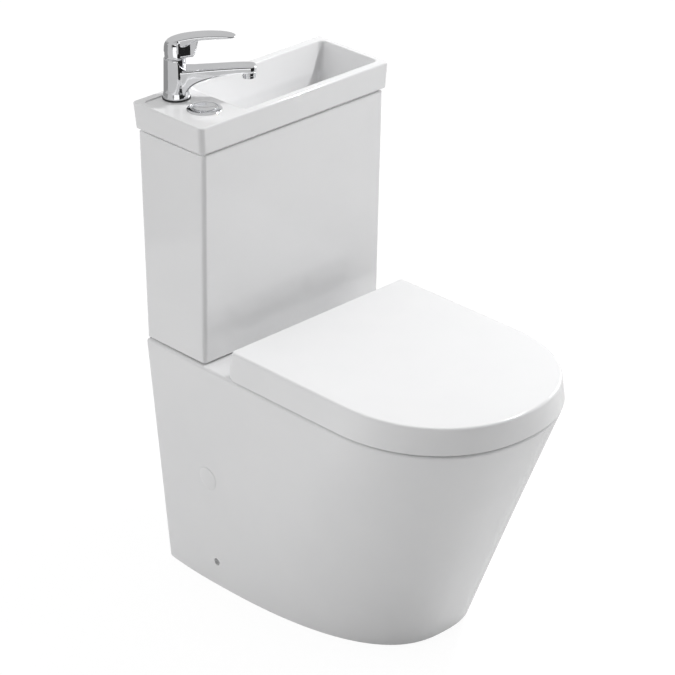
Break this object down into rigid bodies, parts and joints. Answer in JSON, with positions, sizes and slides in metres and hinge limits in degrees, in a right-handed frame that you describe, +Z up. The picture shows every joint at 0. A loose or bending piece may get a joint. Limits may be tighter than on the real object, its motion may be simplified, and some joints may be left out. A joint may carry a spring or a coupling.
{
  "type": "toilet with basin on the cistern",
  "caption": "Back-to-wall close-coupled toilet with a soft-close seat and lid, and a small hand basin with mixer tap and dual flush button on its cistern.",
  "frame": {"origin": "on the floor, under the middle of the object's bounding box", "axes": "+Z up, -Y to the front where the pan's nose is, +Y to the wall, +X to the right seen from the front"},
  "size_m": [0.38, 0.635, 0.8994],
  "materials": {
    "ceramic": "white vitreous china, clear gloss glaze",
    "white_plastic": "white gloss moulding",
    "grey_plastic": "moulded pale grey",
    "blue_plastic": "moulded blue",
    "red_plastic": "small red plug",
    "rubber": "matt black rubber",
    "chrome": "polished chrome plate",
    "steel": "plain stainless steel",
    "brass": "plain machined brass"
  },
  "bodies": {
    "base": {"pan_body": "ceramic", "pan_bowl": "ceramic", "pan_trap": "ceramic", "flush_channel": "ceramic", "side_caps": "white_plastic", "hinge_posts": "chrome", "hinge_studs": "steel", "hinge_washers": "rubber", "hinge_wing_nuts": "grey_plastic", "cistern": "ceramic", "coupling_ring": "rubber", "cistern_bolts": "steel", "cistern_bolt_washers": "rubber", "cistern_wing_nuts": "grey_plastic", "flush_valve_body": "grey_plastic", "flush_valve_washer": "rubber", "flush_valve_nut": "grey_plastic", "fill_valve_body": "grey_plastic", "fill_valve_cap": "blue_plastic", "inlet_washers": "rubber", "inlet_nuts": "grey_plastic", "tap_inlets": "brass", "tap_hoses": "steel", "button_bezel": "chrome", "button_nut": "grey_plastic", "button_housing": "grey_plastic", "half_flush_spring": "steel", "full_flush_spring": "steel", "flush_cable": "rubber", "basin": "ceramic", "waste_grate": "chrome", "waste_seal": "rubber", "waste_nut": "grey_plastic", "waste_tail": "grey_plastic", "tap_body": "chrome", "tap_foot_seal": "rubber", "aerator_housing": "chrome", "aerator_insert": "grey_plastic", "cartridge": "blue_plastic", "cartridge_nut": "brass", "tap_collar": "chrome", "tap_stud": "steel", "tap_clamp": "steel"},
    "seat": {"seat_ring": "white_plastic", "seat_buffers": "rubber", "hinge_pins": "steel", "soft_close_dampers": "grey_plastic"},
    "lid": {"seat_lid": "white_plastic", "lid_buffers": "rubber"},
    "flush_core": {"flush_valve_core": "blue_plastic", "flush_valve_seal": "rubber"},
    "float": {"fill_valve_float": "blue_plastic"},
    "half_button": {"half_flush_button": "chrome"},
    "full_button": {"full_flush_button": "chrome"},
    "tap_swivel": {"tap_carrier": "blue_plastic", "tap_pivot_pin": "steel"},
    "tap_lever": {"tap_spindle": "brass", "tap_handle": "chrome", "handle_screw": "steel", "temperature_plug": "red_plastic"}
  },
  "joints": [
    {"name": "seat_hinge", "type": "hinge", "parent": "base", "child": "seat", "pos_m": [0, 0.1035, 0.4271], "axis": [1, 0, 0], "range_deg": [-94, 0]},
    {"name": "lid_hinge", "type": "hinge", "parent": "seat", "child": "lid", "pos_m": [0, 0.1035, 0.4271], "axis": [-1, 0, 0], "range_deg": [0, 95]},
    {"name": "tap_turn", "type": "hinge", "parent": "base", "child": "tap_swivel", "pos_m": [-0.132, 0.2845, 0.86], "axis": [0, 0, 1], "range_deg": [-45, 45]},
    {"name": "tap_lift", "type": "hinge", "parent": "tap_swivel", "child": "tap_lever", "pos_m": [-0.132, 0.2845, 0.8681], "axis": [-0.682, -0.7314, 0], "range_deg": [0, 20]},
    {"name": "half_flush_press", "type": "slide", "parent": "base", "child": "half_button", "axis": [0, 0, -1], "range_m": [0, 0.005], "stiffness_N_per_m": 250, "springref_m": -0.012, "deforming": ["half_flush_spring"]},
    {"name": "full_flush_press", "type": "slide", "parent": "base", "child": "full_button", "axis": [0, 0, -1], "range_m": [0, 0.005], "stiffness_N_per_m": 250, "springref_m": -0.012, "deforming": ["full_flush_spring"]},
    {"name": "flush_core_lift", "type": "slide", "parent": "base", "child": "flush_core", "axis": [0, 0, 1], "range_m": [0, 0.02]},
    {"name": "float_rise", "type": "slide", "parent": "base", "child": "float", "axis": [0, 0, 1], "range_m": [0, 0.045]}
  ],
  "couplings": [
    {"joint": "flush_core_lift", "follows": "full_flush_press", "ratio": 4}
  ]
}
